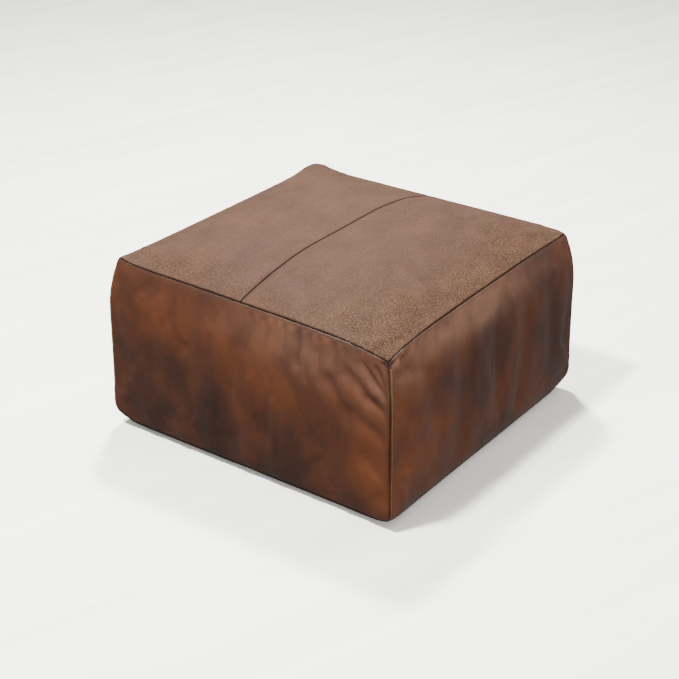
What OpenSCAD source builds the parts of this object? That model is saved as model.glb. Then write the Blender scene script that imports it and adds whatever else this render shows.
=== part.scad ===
// Square Moroccan pouf: a sewn leather cover with a zip in its base,
// filled with a calico bag that holds wadding round a firm core.
// Frame: the origin is on the floor under the middle, +Z is up. The top's
// centre seam and the zip run along Y. Front is -Y, right is +X.
// The cover is one swollen box. Each leather panel is a cell of its skin,
// bounded by the 45 degree planes through the seams, and turns inwards there
// into the seam allowances that the hidden stitches go through.

/* [Cover] */
// Side of the square that the top seam makes
seam_side = 584; // [480:1:700]
// Height of the top seam above the floor
top_seam_z = 316; // [240:1:400]
// How far the middle of each side swells past the corners
side_bulge = 13; // [8:1:20]
// Rise of the top's middle above its seam
top_crown = 26; // [8:1:32]
// Height of the bottom seam above the floor
bottom_seam_z = 10; // [6:1:16]
// Width of the base's edge that curves up to the bottom seam
base_turn = 40; // [25:1:60]
// Thickness of the leather
leather_t = 2; // [1.4:0.1:2.4]
// Width of the seam allowances inside the cover
allowance = 11; // [9:1:14]
// Gap between two panels at a seam
seam_gap = 0.3; // [0.2:0.05:0.5]

/* [Thread] */
// Diameter of the sewing thread
thread_d = 0.9; // [0.6:0.1:1.2]
// Length of a stitch that shows
stitch_len = 6; // [4:0.5:8]
// Distance from one stitch to the next
stitch_pitch = 9; // [8:0.5:14]
// Distance from a seam to the row of stitches beside it
edge_row = 5; // [4:0.5:8]

/* [Zip] */
// Length of the opening that the zip closes
opening_l = 420; // [300:1:450]
// Width of the opening between the leather edges
opening_w = 14; // [13:0.5:18]
// Width of each half of the zip's tape
tape_w = 13; // [11:0.5:16]
// Distance from one tooth to the next on one row
tooth_pitch = 3.5; // [3:0.1:5]
// Height of the zip's channel above the floor
channel_rise = 8; // [8:0.5:12]
// Width of the channel along the base
channel_w = 90; // [80:1:120]

/* [Filling] */
// Thickness of the calico that the inner bag is sewn from
calico_t = 1.2; // [0.8:0.1:1.6]
// Thickness of the wadding round the core
wadding_t = 22; // [15:1:35]

/* [Hidden] */

// Smoothness of the long shallow arcs and of the small round parts
arc_fn = 720;
round_fn = 24;

half = seam_side / 2;
// The level seams stand this much further out than the corners, and the crown
// is this much higher from front to back, so that no four faces share a point
seam_bulge = 1;
crown_lift = 0.5;
side_h = top_seam_z - bottom_seam_z;
mid_z = (top_seam_z + bottom_seam_z) / 2;
// Radius of an arc from its chord and its rise
function arc_r(chord, rise) = (chord * chord / 4 + rise * rise) / (2 * rise);
side_arc_r = arc_r(side_h, side_bulge - seam_bulge);
plan_arc_r = arc_r(seam_side, side_bulge);
crown_arc_r = arc_r(seam_side, top_crown);
// How far the panel cells reach outside and inside the seam lines
cell_out = 60;
cell_in = 40;
// Width of each slope of the zip's channel
channel_slope = 20;

// Depth of the hidden stitches below a seam, and their length
pin_depth = allowance * 0.6;
pin_len = 2 * leather_t + seam_gap + 1;
pin_pitch = 12;
// Plain length left at each end of a seam, where three panels meet
seam_end = 24;

// Zip: heights of the tape and teeth above the leather of the channel
leather_top_z = channel_rise + leather_t;
tape_t = 0.8;
tape_len = opening_l + 30;
tooth_t = 2.6;
tooth_y = 1.8;
tooth_in = 0.6;
tooth_out = 3.6;
tooth_lap = 1.4;
tooth_z = leather_top_z + tape_t / 2 - tooth_t / 2;
teeth_half = opening_l / 2 - 1;
zip_row_x = 11;
stop_l = 3;

// Slider: two plates and a post, round the teeth, with room to run
slide_gap = 0.4;
slider_l = 15;
slider_x = 5;
plate_t = 1.2;
rim_x = 1;
post_w = 0.5;
post_l = 5;
plate_low_z = tooth_z - slide_gap - plate_t;
plate_high_z = tooth_z + tooth_t + slide_gap;
tape_room = 0.35;
slider_y = opening_l / 2 - slider_l / 2 - 0.5;
// Bail under the slider, and the tab that swings on it
bail_x = 1;
bail_y = 5;
bail_t = 1.1;
bail_drop = 3.4;
tab_pin_d = 1.3;
tab_pin_z = plate_low_z - 1.25;
tab_t = 1.3;
tab_arm_in = 1.5;
tab_arm_out = 2.8;
tab_neck = 6.4;
tab_l = 28;
tab_x = 3.5;

// Filling: clearances, and the chamfer, channel and groove that clear the
// seam allowances and the zip
bag_gap = 0.6;
bag_inset = leather_t + bag_gap;
bag_chamfer = 2 * allowance + 4;
bag_rise = channel_rise + allowance;
bag_groove_x = 4;
groove_grow_max = 2;
bag_seam_drop = bag_chamfer + 2;
fill_gap = 0.4;

// ---- The swollen box ----

// Big circle whose edge runs through a chord and bulges outwards along +X
module bulge_disc(edge_x, bulge, r, inset) {
  translate([edge_x + bulge - r, 0]) circle(r = r - inset, $fn = arc_fn);
}

// Outline seen from above: four shallow arcs through the corners
module plan_outline(inset) {
  intersection() {
    bulge_disc(half, side_bulge, plan_arc_r, inset);
    rotate(90) bulge_disc(half, side_bulge, plan_arc_r, inset);
    rotate(180) bulge_disc(half, side_bulge, plan_arc_r, inset);
    rotate(270) bulge_disc(half, side_bulge, plan_arc_r, inset);
  }
}

// Everything above the base line, which may have the zip's channel in it
module above_base(inset, rise) {
  wide = half + cell_out;
  edge = bottom_seam_z + bottom_seam_z * cell_out / base_turn;
  chan = channel_w / 2;
  flat = chan - channel_slope;
  tall = top_seam_z + top_crown + cell_out;
  polygon([
    [-wide, edge + inset], [-half + base_turn, inset], [-chan, inset],
    [-flat, rise + inset], [flat, rise + inset], [chan, inset],
    [half - base_turn, inset], [wide, edge + inset], [wide, tall], [-wide, tall]
  ]);
}

// Outline seen from a side: bulged sides, a crowned top and the base line
module side_outline(inset, rise, lift) {
  edge = half + seam_bulge;
  bulge = side_bulge - seam_bulge;
  intersection() {
    translate([0, mid_z]) bulge_disc(edge, bulge, side_arc_r, inset);
    translate([0, mid_z]) rotate(180) bulge_disc(edge, bulge, side_arc_r, inset);
    translate([0, top_seam_z + top_crown + lift - crown_arc_r])
      circle(r = crown_arc_r - inset, $fn = arc_fn);
    above_base(inset, rise);
  }
}

// Solid made by moving a side outline along Y
module along_y(inset, rise, lift) {
  rotate([90, 0, 0])
    linear_extrude(height = seam_side + 2 * cell_out, center = true)
      side_outline(inset, rise, lift);
}

// The whole cushion shape, inset by a distance from the cover's outside
module form(inset, rise = channel_rise) {
  intersection() {
    linear_extrude(height = top_seam_z + top_crown + cell_out) plan_outline(inset);
    along_y(inset, rise, 0);
    rotate(90) along_y(inset, 0, crown_lift);
  }
}

// ---- Panel cells between the 45 degree planes of the seams ----

// Trapezoid that narrows inwards from a seam line of the given half length
module mitre_trapezoid(half_len, shrink) {
  k = shrink * sqrt(2);
  polygon([
    [-half_len - cell_out + k, -cell_out], [half_len + cell_out - k, -cell_out],
    [half_len - cell_in - k, cell_in], [-half_len + cell_in + k, cell_in]
  ]);
}

// Cell of the side panel on -Y, turned to the side at this angle
module side_cell(angle, shrink) {
  rotate(angle) intersection() {
    translate([0, -half, -cell_out])
      linear_extrude(height = side_h + 4 * cell_out) mitre_trapezoid(half, shrink);
    translate([0, -half, mid_z]) rotate([0, -90, 0])
      linear_extrude(height = seam_side + 2 * cell_out, center = true)
        mitre_trapezoid(side_h / 2, shrink);
  }
}

// Flat cell above the top seam, or below the bottom seam when turned over
module flat_cell(shrink) {
  length = seam_side + 2 * cell_out;
  intersection() {
    rotate([-90, 0, 0]) linear_extrude(height = length, center = true)
      mitre_trapezoid(half, shrink);
    rotate(90) rotate([-90, 0, 0]) linear_extrude(height = length, center = true)
      mitre_trapezoid(half, shrink);
  }
}

// Half of the top's or base's cell: side is -1 for left and 1 for right
module half_cell(side, at_top, shrink) {
  size = seam_side + 2 * cell_out;
  seam_z = at_top ? top_seam_z : bottom_seam_z;
  intersection() {
    translate([0, 0, seam_z]) mirror([0, 0, at_top ? 0 : 1]) flat_cell(shrink);
    translate([side * (size / 2 + shrink), 0, seam_z]) cube(size, center = true);
  }
}

// A panel's cell by name
module cell(name, shrink) {
  if (name == "front") side_cell(0, shrink);
  if (name == "right") side_cell(90, shrink);
  if (name == "back") side_cell(180, shrink);
  if (name == "left") side_cell(270, shrink);
  if (name == "top_left") half_cell(-1, true, shrink);
  if (name == "top_right") half_cell(1, true, shrink);
  if (name == "base_left") half_cell(-1, false, shrink);
  if (name == "base_right") half_cell(1, false, shrink);
}

// Leather panel: its share of the skin, with the allowances turned inwards
module panel(name) {
  difference() {
    intersection() {
      form(0);
      cell(name, seam_gap / 2);
    }
    intersection() {
      form(leather_t);
      cell(name, seam_gap / 2 + leather_t);
    }
    form(allowance);
  }
}

// What the zip takes out of the base: the opening with room for the stops at
// its ends, and room for the tape
module zip_room() {
  tall = 3 * allowance;
  long = opening_l + 2 * stop_l + 2;
  translate([-opening_w / 2, -long / 2, 0]) cube([opening_w, long, tall]);
  translate([-opening_w / 2, -tape_len / 2 - 1, leather_top_z])
    cube([opening_w, tape_len + 2, tall]);
}

module top_panel_left() {
  color("rosybrown") panel("top_left");
}

module top_panel_right() {
  color("rosybrown") panel("top_right");
}

module side_panel_front() {
  color("saddlebrown") panel("front");
}

module side_panel_right() {
  color("saddlebrown") panel("right");
}

module side_panel_back() {
  color("saddlebrown") panel("back");
}

module side_panel_left() {
  color("saddlebrown") panel("left");
}

module bottom_panel_left() {
  color("sienna") difference() {
    panel("base_left");
    zip_room();
  }
}

module bottom_panel_right() {
  color("sienna") difference() {
    panel("base_right");
    zip_room();
  }
}

// ---- Thread ----

// Stitch hidden inside: a short pin along X through two allowances
module pin() {
  rotate([0, 90, 0])
    cylinder(d = thread_d, h = pin_len, center = true, $fn = round_fn);
}

// Stitch that shows: a short length of thread along X
module run() {
  rotate([0, 90, 0])
    cylinder(d = thread_d, h = stitch_len, center = true, $fn = round_fn);
}

// Height of the crowned top above the floor at a distance from its middle
function crown_z(y) =
  top_seam_z + top_crown - crown_arc_r + sqrt(crown_arc_r * crown_arc_r - y * y);

// Swell of a side past its corners, at a distance from its middle and a height
function plan_swell(x) =
  side_bulge - plan_arc_r + sqrt(plan_arc_r * plan_arc_r - x * x);
function side_swell(x, z) = min(
  plan_swell(x),
  side_bulge - side_arc_r
    + sqrt(side_arc_r * side_arc_r - (z - mid_z) * (z - mid_z))
);

// Hidden stitches along a level seam of the front, whose two panels meet at
// 45 degrees; side is 1 at the top and -1 at the base
module edge_pins(seam_z, side) {
  reach = half - seam_end;
  count = floor(2 * reach / pin_pitch);
  for (i = [0 : count])
    translate([-reach + 2 * reach * i / count, -half + pin_depth,
               seam_z - side * pin_depth])
      rotate([side * 45, 0, 0]) rotate(90) pin();
}

module top_centre_stitching() {
  reach = half - seam_end;
  count = floor(2 * reach / pin_pitch);
  color("peru") for (i = [0 : count]) {
    y = -reach + 2 * reach * i / count;
    translate([0, y, crown_z(y) - pin_depth]) pin();
  }
}

module top_edge_stitching() {
  color("peru") for (a = [0 : 90 : 270]) rotate(a) edge_pins(top_seam_z, 1);
}

module bottom_edge_stitching() {
  color("peru") for (a = [0 : 90 : 270]) rotate(a) edge_pins(bottom_seam_z, -1);
}

module corner_stitching() {
  reach = side_h / 2 - seam_end;
  count = floor(2 * reach / pin_pitch);
  at = half - pin_depth;
  color("peru") for (a = [0 : 90 : 270]) rotate(a) for (i = [0 : count])
    translate([at, -at, mid_z - reach + 2 * reach * i / count]) rotate(45) pin();
}

module bottom_centre_stitching() {
  from = tape_len / 2 + 6;
  to = half - seam_end;
  count = floor((to - from) / pin_pitch);
  color("peru") for (m = [-1, 1]) for (i = [0 : count])
    translate([0, m * (from + (to - from) * i / count), channel_rise + pin_depth])
      pin();
}

module top_edge_topstitching() {
  reach = half - seam_end;
  count = floor(2 * reach / stitch_pitch);
  z = top_seam_z - edge_row;
  color("tan") for (a = [0 : 90 : 270]) rotate(a) for (i = [0 : count]) {
    x = -reach + 2 * reach * i / count;
    translate([x, -half - side_swell(x, z), z]) run();
  }
}

module corner_topstitching() {
  reach = side_h / 2 - seam_end;
  count = floor(2 * reach / stitch_pitch);
  y = half - edge_row;
  color("tan") for (a = [0 : 90 : 270]) rotate(a) for (i = [0 : count])
    translate([half + plan_swell(y), -y, mid_z - reach + 2 * reach * i / count])
      rotate([0, 90, 0]) run();
}

// ---- Zip ----

module zip_tape(side) {
  x = side > 0 ? tooth_out - tooth_lap : -(tooth_out - tooth_lap) - tape_w;
  color("dimgray") translate([x, -tape_len / 2, leather_top_z])
    cube([tape_w, tape_len, tape_t]);
}

module zip_tape_left() {
  zip_tape(-1);
}

module zip_tape_right() {
  zip_tape(1);
}

// One row of teeth; the rows stand half a pitch apart, either side of a slit
module zip_teeth(side) {
  shift = side > 0 ? tooth_pitch / 2 : 0;
  x = side > 0 ? tooth_in : -tooth_out;
  color("goldenrod") for (y = [-teeth_half + shift : tooth_pitch : teeth_half - tooth_y])
    translate([x, y, tooth_z]) cube([tooth_out - tooth_in, tooth_y, tooth_t]);
}

module zip_teeth_left() {
  zip_teeth(-1);
}

module zip_teeth_right() {
  zip_teeth(1);
}

module zip_top_stops() {
  color("goldenrod") for (x = [-tooth_out, tooth_in])
    translate([x, opening_l / 2 + 0.5, tooth_z])
      cube([tooth_out - tooth_in, stop_l, tooth_t]);
}

module zip_bottom_stop() {
  color("goldenrod") translate([-tooth_out, -opening_l / 2 - 0.5 - stop_l, tooth_z])
    cube([2 * tooth_out, stop_l, tooth_t]);
}

// Stitches that hold one tape to its leather edge, as pins up through both
module zip_stitching(side) {
  reach = opening_l / 2;
  count = floor(2 * reach / stitch_pitch);
  h = leather_t + tape_t + 0.8;
  color("tan") for (i = [0 : count])
    translate([side * zip_row_x, -reach + 2 * reach * i / count, channel_rise - 0.4])
      cylinder(d = thread_d, h = h, $fn = round_fn);
}

module zip_stitching_left() {
  zip_stitching(-1);
}

module zip_stitching_right() {
  zip_stitching(1);
}

// One plate of the slider with the rims that turn towards the tape
module slider_plate(plate_z, rim_z, rim_h) {
  translate([-slider_x, -slider_l / 2, plate_z])
    cube([2 * slider_x, slider_l, plate_t]);
  for (x = [-slider_x, slider_x - rim_x])
    translate([x, -slider_l / 2, rim_z]) cube([rim_x, slider_l, rim_h]);
}

module zip_slider() {
  low_top = plate_low_z + plate_t;
  low_rim = leather_top_z - tape_room - low_top;
  high_rim_z = leather_top_z + tape_t + tape_room;
  color("darkgoldenrod") translate([0, slider_y, 0]) {
    slider_plate(plate_low_z, low_top, low_rim);
    slider_plate(plate_high_z, high_rim_z, plate_high_z - high_rim_z);
    translate([-post_w / 2, slider_l / 2 - post_l, low_top])
      cube([post_w, post_l, plate_high_z - low_top]);
    difference() {
      translate([-bail_x, -bail_y, plate_low_z - bail_drop])
        cube([2 * bail_x, 2 * bail_y, bail_drop]);
      translate([-2 * bail_x, -bail_y + bail_t, plate_low_z - bail_drop + bail_t])
        cube([4 * bail_x, 2 * (bail_y - bail_t), bail_drop]);
    }
  }
}

// Flat tab with two arms and a cross pin that hangs in the slider's bail
module zip_pull_tab() {
  color("darkgoldenrod") translate([0, slider_y, tab_pin_z]) {
    rotate([0, 90, 0])
      cylinder(d = tab_pin_d, h = 2 * tab_arm_out, center = true, $fn = round_fn);
    for (x = [-tab_arm_out, tab_arm_in])
      translate([x, -tab_neck - 1, -tab_t / 2])
        cube([tab_arm_out - tab_arm_in, tab_neck + 1, tab_t]);
    difference() {
      translate([-tab_x, -tab_l, -tab_t / 2])
        cube([2 * tab_x, tab_l - tab_neck, tab_t]);
      translate([0, -tab_l + tab_x, -tab_t])
        cylinder(d = tab_x, h = 2 * tab_t, $fn = round_fn);
    }
  }
}

// ---- Filling ----

// Rectangle with cut corners, centred on the origin
module cut_rect(w, h, cut) {
  x = w / 2;
  y = h / 2;
  polygon([
    [-x + cut, -y], [x - cut, -y], [x, -y + cut], [x, y - cut],
    [x - cut, y], [-x + cut, y], [-x, y - cut], [-x, -y + cut]
  ]);
}

// Groove under the top's centre seam, where its allowances hang down
module centre_groove(grow) {
  far = half + cell_out;
  x = bag_groove_x + grow;
  difference() {
    translate([-x, -far, mid_z]) cube([2 * x, 2 * far, side_h]);
    form(allowance + 1 + grow);
  }
}

// Shape of the inner bag: the cover's inside with cut edges that clear the
// seam allowances, and a deeper channel that clears the zip
module bag_form(inset) {
  w = seam_side + 2 * cell_out;
  h = side_h + 2 * cell_out;
  deeper = inset - bag_inset;
  cut = bag_chamfer + deeper + 2 * cell_out;
  difference() {
    intersection() {
      form(inset, bag_rise);
      translate([0, 0, -cell_out]) linear_extrude(height = 2 * h) cut_rect(w, w, cut);
      intersection_for(a = [0, 90])
        translate([0, 0, mid_z]) rotate(a) rotate([90, 0, 0])
          linear_extrude(height = w, center = true) cut_rect(w, h, cut);
    }
    centre_groove(min(deeper, groove_grow_max));
  }
}

// Part of the bag's shape between two heights
module bag_slice(inset, low, high) {
  size = seam_side + 2 * cell_out;
  intersection() {
    bag_form(inset);
    translate([-size / 2, -size / 2, low]) cube([size, size, high - low]);
  }
}

bag_top_z = top_seam_z - bag_seam_drop;
bag_low_z = bottom_seam_z + bag_seam_drop;
far_z = top_seam_z + top_crown + cell_out;

// Layer between two insets, over a range of heights
module bag_layer(outer, thickness, low, high) {
  difference() {
    bag_slice(outer, low, high);
    bag_form(outer + thickness);
  }
}

wadding_inset = bag_inset + calico_t + fill_gap;
core_inset = wadding_inset + wadding_t + fill_gap;

module inner_bag_top() {
  color("antiquewhite") bag_layer(bag_inset, calico_t, bag_top_z + seam_gap, far_z);
}

module inner_bag_boxing() {
  color("antiquewhite") bag_layer(bag_inset, calico_t, bag_low_z, bag_top_z);
}

module inner_bag_bottom() {
  color("antiquewhite") bag_layer(bag_inset, calico_t, -1, bag_low_z - seam_gap);
}

module wadding_top() {
  color("white") bag_layer(wadding_inset, wadding_t, bag_top_z + seam_gap, far_z);
}

module wadding_band() {
  color("white") bag_layer(wadding_inset, wadding_t, bag_low_z, bag_top_z);
}

module wadding_bottom() {
  color("white") bag_layer(wadding_inset, wadding_t, -1, bag_low_z - seam_gap);
}

module fill_core() {
  color("khaki") bag_form(core_inset);
}

top_panel_left();
top_panel_right();
side_panel_front();
side_panel_right();
side_panel_back();
side_panel_left();
bottom_panel_left();
bottom_panel_right();
top_centre_stitching();
top_edge_stitching();
corner_stitching();
bottom_edge_stitching();
bottom_centre_stitching();
top_edge_topstitching();
corner_topstitching();
zip_tape_left();
zip_tape_right();
zip_teeth_left();
zip_teeth_right();
zip_top_stops();
zip_bottom_stop();
zip_stitching_left();
zip_stitching_right();
zip_slider();
zip_pull_tab();
inner_bag_top();
inner_bag_boxing();
inner_bag_bottom();
wadding_top();
wadding_band();
wadding_bottom();
fill_core();
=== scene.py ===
"""Square leather floor pouf: hide cover with a buffed top, zipped base, calico bag and stuffing."""

import math

import bpy
import numpy as np
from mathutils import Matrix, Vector


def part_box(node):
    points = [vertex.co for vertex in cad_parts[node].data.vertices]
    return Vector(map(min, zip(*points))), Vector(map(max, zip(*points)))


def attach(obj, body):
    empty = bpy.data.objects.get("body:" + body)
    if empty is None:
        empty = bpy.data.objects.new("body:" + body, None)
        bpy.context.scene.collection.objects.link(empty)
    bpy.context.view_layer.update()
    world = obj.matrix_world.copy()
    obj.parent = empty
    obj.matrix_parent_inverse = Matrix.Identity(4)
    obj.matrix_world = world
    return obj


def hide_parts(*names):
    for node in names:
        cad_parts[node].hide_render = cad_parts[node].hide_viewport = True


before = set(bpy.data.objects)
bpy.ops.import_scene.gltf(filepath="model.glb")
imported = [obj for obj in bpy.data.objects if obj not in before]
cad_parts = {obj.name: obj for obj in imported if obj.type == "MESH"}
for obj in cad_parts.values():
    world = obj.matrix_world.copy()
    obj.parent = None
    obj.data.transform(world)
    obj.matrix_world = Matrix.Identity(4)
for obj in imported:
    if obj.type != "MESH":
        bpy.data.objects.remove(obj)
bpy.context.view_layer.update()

# ---- Sizes, in metres ----

SIDE_SWELL = 0.013
SEAM_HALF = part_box("side_panel_right")[1].x - SIDE_SWELL
CROWN_CAD = 0.026
TOP_SEAM_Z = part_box("top_panel_left")[1].z - CROWN_CAD
BASE_SEAM_Z = 0.010
CROWN = 0.029
SIDE_TALL = TOP_SEAM_Z - BASE_SEAM_Z
SEAM_X = -0.0125
CHANNEL_RISE = 0.008
CHANNEL_FLAT = 0.025
CHANNEL_EDGE = 0.045
HIDE = 0.002
ZIP_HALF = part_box("zip_top_stops")[1].y + 0.001
ZIP_GAP = 0.0085

# How far each top corner stands above the mean seam: (x side, y side) -> rise
CORNER_RISE = {(-1, -1): 0.0132, (1, -1): 0.0015, (1, 1): 0.0135, (-1, 1): 0.0125}
# How far each top corner droops, close to it, and how far each foot spreads
CORNER_DROOP = {(1, -1): 0.0165, (1, 1): 0.0053, (-1, -1): -0.0043}
FOOT_SPREAD = {(1, -1): 0.0087, (1, 1): 0.0027, (-1, -1): 0.0027, (-1, 1): 0.0027}
CORNER_TUCK = 0.004
FOOT_TUCK = 0.011
SEAM_BOW = -0.0026


# ---- The cover's form ----

def ease(x):
    """0 below 0 and 1 above 1, with a smooth cubic step between."""
    x = np.clip(x, 0, 1)
    return x * x * (3 - 2 * x)


def top_turn(t):
    """0 over most of the height, rising to 1 at the top seam, where a side turns over towards the
    top."""
    return np.clip((t - 0.676) / 0.324, 0, 1) ** 2.0


def corner_swell(t):
    """Outward swell of the upright corner seams at height t, 0 at the base seam and 1 at the top seam.
    Full between the two, falls to the corner's tuck in the top third, and to a few millimetres at the base."""
    up = top_turn(t)
    down = np.clip((0.13 - t) / 0.13, 0, 1) ** 2.2
    return SIDE_SWELL * (1 - up) - CORNER_TUCK * up - (SIDE_SWELL - 0.0045) * down


def side_swell(a, t):
    """Outward swell at a, -1 to 1 along a side, and height t: the corner's swell, plus a bow in the middle.
    The tuck of the top corners fades within a few centimetres of each corner."""
    near_top = top_turn(t)
    fade = 1 - np.exp(-((1 - np.abs(a)) * SEAM_HALF / 0.016))
    bow = 1 - a * a
    return corner_swell(t) + (CORNER_TUCK + SEAM_BOW * bow) * near_top * fade + 0.0035 * bow * (1 - near_top)


def near_corner(x, y, i, j, reach):
    """1 at one corner, falling away exponentially with distance over that share of half the
    width."""
    return np.exp(-np.sqrt((x - i) ** 2 + (y - j) ** 2 + 1e-4) / reach)


def seam_height(x, y):
    """Height of the top seam, bilinear between its four corners, less each corner's own local
    droop."""
    rise = sum(r * (1 + i * x) * (1 + j * y) / 4 for (i, j), r in CORNER_RISE.items())
    droop = sum(d * near_corner(x, y, i, j, 0.135) for (i, j), d in CORNER_DROOP.items())
    return TOP_SEAM_Z + rise - droop


def top_height(x, y, groove=0.0):
    """Height of the top: the seam's height plus a flat-topped crown, with a soft valley along the
    centre seam."""
    crown = CROWN * (1 - np.abs(x) ** 3.0) * (1 - np.abs(y) ** 3.44)
    horn = 0.0085 * np.exp(-(((x + 0.92) / 0.11) ** 2 + ((y - 0.9) / 0.13) ** 2))
    valley = np.exp(-(((x * SEAM_HALF - SEAM_X) / 0.011) ** 2)) * (1 - np.abs(y) ** 8)
    return seam_height(x, y) + crown + horn - (0.0016 + groove) * valley


def base_height(x, y, rise=CHANNEL_RISE):
    """Height of the base: on the floor inside, up to the base seam at the rim, with the zip's
    channel in the middle."""
    rim = 1 - (1 - np.abs(x) ** 16) * (1 - np.abs(y) ** 16)
    channel = ease((CHANNEL_EDGE - np.abs(x * SEAM_HALF)) / (CHANNEL_EDGE - CHANNEL_FLAT))
    return np.maximum(BASE_SEAM_Z * rim, rise * channel)


def swollen(x, y, t, rise=CHANNEL_RISE, groove=0.0):
    """Point of the swollen pouf for a point of the plain box, x and y from -1 to 1 and t from 0 to 1:
    x and y scale with the swell at that height, and z runs between the base's height and the top's."""
    px = x * (SEAM_HALF + side_swell(y, t) * x * x)
    py = y * (SEAM_HALF + side_swell(x, t) * y * y)
    pz = base_height(x, y, rise) * (1 - t) + top_height(x, y, groove) * t
    for (i, j), spread in FOOT_SPREAD.items():
        out = spread * near_corner(x, y, i, j, 0.3) * (1 - t) ** 2
        out = out - FOOT_TUCK * near_corner(x, y, i, j, 0.045) * np.clip(1 - t / 0.09, 0, 1) ** 2
        px, py = px + i * out, py + j * out
    return np.stack([px, py, pz], -1)


# Each face of the box: how its two parameters, -1 to 1 each, run over the box, and its outward direction.
# The first runs along, the second up (or back, on the top and the base); along x second points outwards.
FACES = {
    "front": (lambda a, b: (a, -1 + 0 * a, (b + 1) / 2), (0, -1, 0)),
    "right": (lambda a, b: (1 + 0 * a, a, (b + 1) / 2), (1, 0, 0)),
    "back": (lambda a, b: (-a, 1 + 0 * a, (b + 1) / 2), (0, 1, 0)),
    "left": (lambda a, b: (-1 + 0 * a, -a, (b + 1) / 2), (-1, 0, 0)),
    "top": (lambda a, b: (a, b, 1 + 0 * a), (0, 0, 1)),
    "base": (lambda a, b: (a, -b, 0 * a), (0, 0, -1)),
}
SIDES = ("front", "right", "back", "left")


def face_form(face, a, b):
    """The swollen form over a grid of one face's two parameters."""
    A, B = np.meshgrid(a, b, indexing="ij")
    return swollen(*FACES[face][0](A, B))


def grid_faces(n, m):
    """Quads of an n by m grid of vertices, numbered row by row."""
    i = np.arange((n - 1) * (m - 1))
    v = (i // (m - 1)) * m + i % (m - 1)
    return np.stack([v, v + m, v + m + 1, v + 1], -1)


def normals_of(P):
    """Unit outward direction at each point of a grid: the cross product of its two gradients."""
    n = np.cross(np.gradient(P, axis=0), np.gradient(P, axis=1))
    return n / np.maximum(np.linalg.norm(n, axis=-1, keepdims=True), 1e-12)


def make_mesh(name, verts, faces, smooth=True):
    """A mesh object at the origin from an array of points, and an array of quads or a list of
    faces."""
    mesh = bpy.data.meshes.new(name)
    faces = faces if isinstance(faces, list) else np.asarray(faces).tolist()
    mesh.from_pydata(np.asarray(verts, float).reshape(-1, 3).tolist(), [], faces)
    mesh.update()
    if smooth:
        mesh.polygons.foreach_set("use_smooth", np.ones(len(mesh.polygons), bool))
    obj = bpy.data.objects.new(name, mesh)
    bpy.context.scene.collection.objects.link(obj)
    return obj


def thicken(obj, thickness, **settings):
    """Gives a surface its thickness, inwards."""
    wall = obj.modifiers.new("thickness", "SOLIDIFY")
    wall.thickness, wall.offset = thickness, -1
    for key, value in settings.items():
        setattr(wall, key, value)
    return obj


def skirt_faces(first, rings, start):
    """Quads that join a ring of vertices to further rings, numbered one after another from
    start."""
    faces, prev, many = [], first, len(first)
    for k in range(rings):
        cur = start + k * many + np.arange(many)
        faces.append(np.stack([prev, cur, np.roll(cur, -1), np.roll(prev, -1)], -1))
        prev = cur
    return faces


def read_points(mesh):
    co = np.empty(len(mesh.vertices) * 3, np.float32)
    mesh.vertices.foreach_get("co", co)
    return co.reshape(-1, 3).astype(float)


# ---- Stuffing the cover: cloth simulation ----

SIM_ACROSS, SIM_UP = 61, 33
FOLD_CAP, FOLD_SHARE = 0.005, 0.55
SIM_STEPS = {face: (SIM_ACROSS, SIM_UP if face in SIDES else SIM_ACROSS) for face in FACES}


def blur_rows(n, spread):
    """Matrix that blurs n samples with a bell of that many samples, each row summing to 1."""
    i = np.arange(n)
    w = np.exp(-0.5 * ((i[:, None] - i[None, :]) / spread) ** 2)
    return w / w.sum(1, keepdims=True)


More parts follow.
